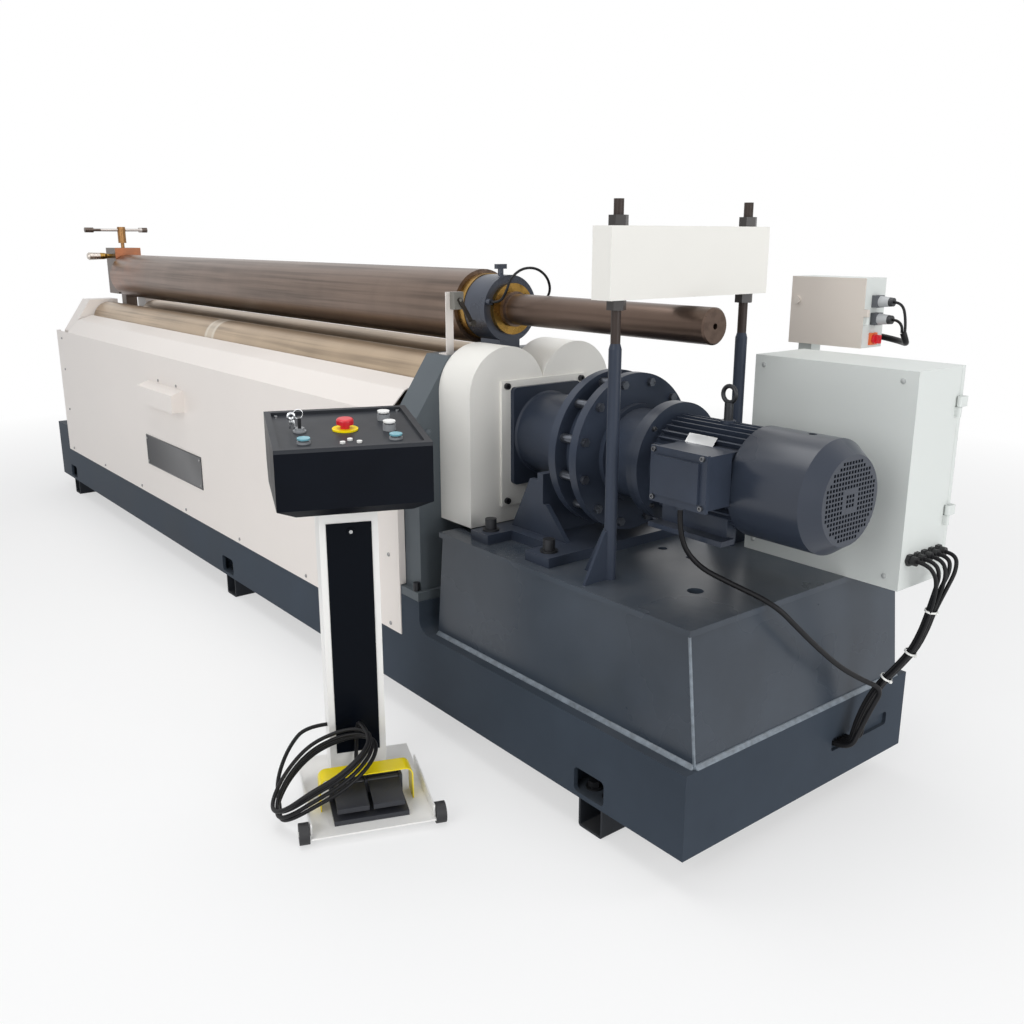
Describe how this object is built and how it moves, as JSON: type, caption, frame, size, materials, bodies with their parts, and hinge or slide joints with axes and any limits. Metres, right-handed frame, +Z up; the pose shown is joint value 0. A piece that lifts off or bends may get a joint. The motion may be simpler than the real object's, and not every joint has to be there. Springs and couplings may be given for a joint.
{
  "type": "plate rolling machine",
  "caption": "Plate bending rolls on a long fabricated bed: geared lower rolls, a top roll that lifts and has a swing-down end bearing, a geared motor, and a control pedestal with foot pedals.",
  "frame": {"origin": "Centre of the underside of the middle skid tube along the rolls, on the floor, under the axis of the top roll.", "axes": "+X runs along the rolls towards the motor, +Y towards the rear of the machine, +Z up."},
  "size_m": [4.7554, 1.5284, 1.423],
  "materials": {
    "bed_paint": "satin",
    "skid_paint": "satin",
    "drive_paint": "satin",
    "stand_paint": "satin",
    "white_paint": "satin",
    "box_paint": "fine texture",
    "console_paint": "satin",
    "panel_black": "satin",
    "yellow_paint": "gloss",
    "roll_steel": "turned",
    "arm_steel": "milled",
    "bolt_steel": "blackened",
    "housing_iron": "machined and oiled",
    "bronze": "turned bronze",
    "black_plastic": "matte",
    "red_plastic": "gloss",
    "blue_plastic": "gloss",
    "white_plastic": "gloss",
    "black_rubber": "matte"
  },
  "bodies": {
    "machine": {"bed_frame": "bed_paint", "skid_tubes": "skid_paint", "fasteners": "bolt_steel", "drive_riser": "bed_paint", "right_stand": "stand_paint", "left_stand": "white_paint", "front_cover": "white_paint", "rear_cover": "white_paint", "roll_bushes": "bronze", "gear_cover": "white_paint", "reducer_housing": "drive_paint", "reducer_end_disc": "drive_paint", "reducer_bolts": "bolt_steel", "reducer_foot": "drive_paint", "motor_body": "drive_paint", "terminal_box": "drive_paint", "fan_cowl": "drive_paint", "tie_posts": "drive_paint", "lift_drive": "drive_paint", "limit_bracket": "white_paint", "enclosure_body": "box_paint", "cable_glands": "black_plastic", "switch_cabinet": "box_paint", "motor_cable": "black_rubber", "cabinet_cables": "black_rubber", "plug_cables": "black_rubber"},
    "front_roll": {"front_lower_roll": "roll_steel"},
    "rear_roll": {"rear_lower_roll": "roll_steel"},
    "pinion": {"drive_pinion": "roll_steel"},
    "fan": {"cooling_fan": "black_plastic"},
    "right_lift": {"top_bearing_housing": "housing_iron", "top_bearing_bush": "bronze", "bearing_hose": "black_rubber"},
    "upper_roll": {"top_roll": "roll_steel"},
    "left_lift": {"left_lift_block": "roll_steel"},
    "arm": {"drop_arm": "arm_steel", "drop_arm_bush": "bronze"},
    "clamp": {"clamp_screw": "bolt_steel"},
    "lock": {"locking_pin": "bronze"},
    "beam": {"balance_beam": "white_paint"},
    "lever": {"limit_lever": "bronze"},
    "main_door": {"enclosure_door": "box_paint"},
    "small_door": {"switch_cabinet_door": "box_paint"},
    "isolator": {"isolator_knob": "red_plastic"},
    "pedestal": {"pedestal_frame": "white_paint", "column_panel": "panel_black", "console_box": "console_paint", "pedal_base": "black_plastic", "pedal_guard": "yellow_paint", "pedal_cable": "black_rubber"},
    "stop": {"emergency_stop": "red_plastic"},
    "key": {"key_switch": "bolt_steel"},
    "blue_left": {"blue_button_left": "blue_plastic"},
    "blue_right": {"blue_button_right": "blue_plastic"},
    "white_rear": {"white_button_rear": "white_plastic"},
    "white_front": {"white_button_front": "white_plastic"},
    "pedal_left": {"left_pedal": "black_plastic"},
    "pedal_right": {"right_pedal": "black_plastic"},
    "wheel_left": {"left_wheel": "black_rubber"},
    "wheel_right": {"right_wheel": "black_rubber"}
  },
  "joints": [
    {"name": "front_roll_spin", "type": "hinge", "parent": "machine", "child": "front_roll", "pos_m": [0, -0.12, 0.941], "axis": [1, 0, 0], "continuous": true},
    {"name": "rear_roll_spin", "type": "hinge", "parent": "machine", "child": "rear_roll", "pos_m": [0, 0.12, 0.941], "axis": [1, 0, 0], "continuous": true},
    {"name": "pinion_spin", "type": "hinge", "parent": "machine", "child": "pinion", "pos_m": [0, 0, 0.82775], "axis": [1, 0, 0], "continuous": true},
    {"name": "fan_spin", "type": "hinge", "parent": "machine", "child": "fan", "pos_m": [0, 0, 0.82775], "axis": [1, 0, 0], "continuous": true},
    {"name": "right_lift_slide", "type": "slide", "parent": "machine", "child": "right_lift", "axis": [0, 0, 1], "range_m": [-0.045, 0.01]},
    {"name": "upper_roll_spin", "type": "hinge", "parent": "right_lift", "child": "upper_roll", "pos_m": [0, 0, 1.152], "axis": [1, 0, 0], "continuous": true},
    {"name": "left_lift_slide", "type": "slide", "parent": "machine", "child": "left_lift", "axis": [0, 0, 1], "range_m": [-0.045, 0.01]},
    {"name": "arm_swing", "type": "hinge", "parent": "left_lift", "child": "arm", "pos_m": [-1.91, 0, 0.852], "axis": [0, -1, 0], "range_deg": [0, 90]},
    {"name": "clamp_turn", "type": "hinge", "parent": "arm", "child": "clamp", "pos_m": [-1.94, 0, 1.38], "axis": [0, 0, 1], "range_deg": [0, 180]},
    {"name": "lock_pull", "type": "slide", "parent": "arm", "child": "lock", "axis": [0, -1, 0], "range_m": [0, 0.025]},
    {"name": "beam_slide", "type": "slide", "parent": "machine", "child": "beam", "axis": [0, 0, 1], "range_m": [-0.005, 0.03]},
    {"name": "lever_swing", "type": "hinge", "parent": "machine", "child": "lever", "pos_m": [1.33, -0.172, 1.182], "axis": [1, 0, 0], "range_deg": [-15, 15], "stiffness_Nm_per_rad": 3},
    {"name": "main_door_hinge", "type": "hinge", "parent": "machine", "child": "main_door", "pos_m": [2.439, 0.3944, 0.82], "axis": [0, 0, -1], "range_deg": [0, 110]},
    {"name": "small_door_hinge", "type": "hinge", "parent": "machine", "child": "small_door", "pos_m": [2.119, 0.508, 1.165], "axis": [0, 0, 1], "range_deg": [0, 110]},
    {"name": "isolator_turn", "type": "hinge", "parent": "machine", "child": "isolator", "pos_m": [2.119, 0.5455, 1.096], "axis": [1, 0, 0], "range_deg": [0, 90]},
    {"name": "pedestal_slide", "type": "slide", "parent": "machine", "child": "pedestal", "axis": [0.9278, -0.373, 0], "range_m": [0, 0.6]},
    {"name": "stop_press", "type": "slide", "parent": "pedestal", "child": "stop", "axis": [-0.0798, 0.0321, -0.9963], "range_m": [0, 0.004], "stiffness_N_per_m": 400, "springref_m": -0.004},
    {"name": "key_turn", "type": "hinge", "parent": "pedestal", "child": "key", "pos_m": [1.48373, -0.73575, 0.91433], "axis": [0.0798, -0.0321, 0.9963], "range_deg": [0, 90]},
    {"name": "blue_left_press", "type": "slide", "parent": "pedestal", "child": "blue_left", "axis": [-0.0798, 0.0321, -0.9963], "range_m": [0, 0.004], "stiffness_N_per_m": 300, "springref_m": -0.004},
    {"name": "blue_right_press", "type": "slide", "parent": "pedestal", "child": "blue_right", "axis": [-0.0798, 0.0321, -0.9963], "range_m": [0, 0.004], "stiffness_N_per_m": 300, "springref_m": -0.004},
    {"name": "white_rear_press", "type": "slide", "parent": "pedestal", "child": "white_rear", "axis": [-0.0798, 0.0321, -0.9963], "range_m": [0, 0.004], "stiffness_N_per_m": 300, "springref_m": -0.004},
    {"name": "white_front_press", "type": "slide", "parent": "pedestal", "child": "white_front", "axis": [-0.0798, 0.0321, -0.9963], "range_m": [0, 0.004], "stiffness_N_per_m": 300, "springref_m": -0.004},
    {"name": "pedal_left_press", "type": "hinge", "parent": "pedestal", "child": "pedal_left", "pos_m": [1.62663, -0.68327, 0.072], "axis": [0.373, 0.9278, 0], "range_deg": [0, 8], "stiffness_Nm_per_rad": 4, "springref_deg": -11.46},
    {"name": "pedal_right_press", "type": "hinge", "parent": "pedestal", "child": "pedal_right", "pos_m": [1.62663, -0.68327, 0.072], "axis": [0.373, 0.9278, 0], "range_deg": [0, 8], "stiffness_Nm_per_rad": 4, "springref_deg": -11.46},
    {"name": "wheel_left_spin", "type": "hinge", "parent": "pedestal", "child": "wheel_left", "pos_m": [1.72962, -0.72467, 0.025], "axis": [0.373, 0.9278, 0], "continuous": true},
    {"name": "wheel_right_spin", "type": "hinge", "parent": "pedestal", "child": "wheel_right", "pos_m": [1.72962, -0.72467, 0.025], "axis": [0.373, 0.9278, 0], "continuous": true}
  ],
  "couplings": [
    {"joint": "rear_roll_spin", "follows": "front_roll_spin", "ratio": 1},
    {"joint": "pinion_spin", "follows": "front_roll_spin", "ratio": -1.8947},
    {"joint": "fan_spin", "follows": "front_roll_spin", "ratio": 32.211},
    {"joint": "left_lift_slide", "follows": "right_lift_slide", "ratio": 1}
  ]
}
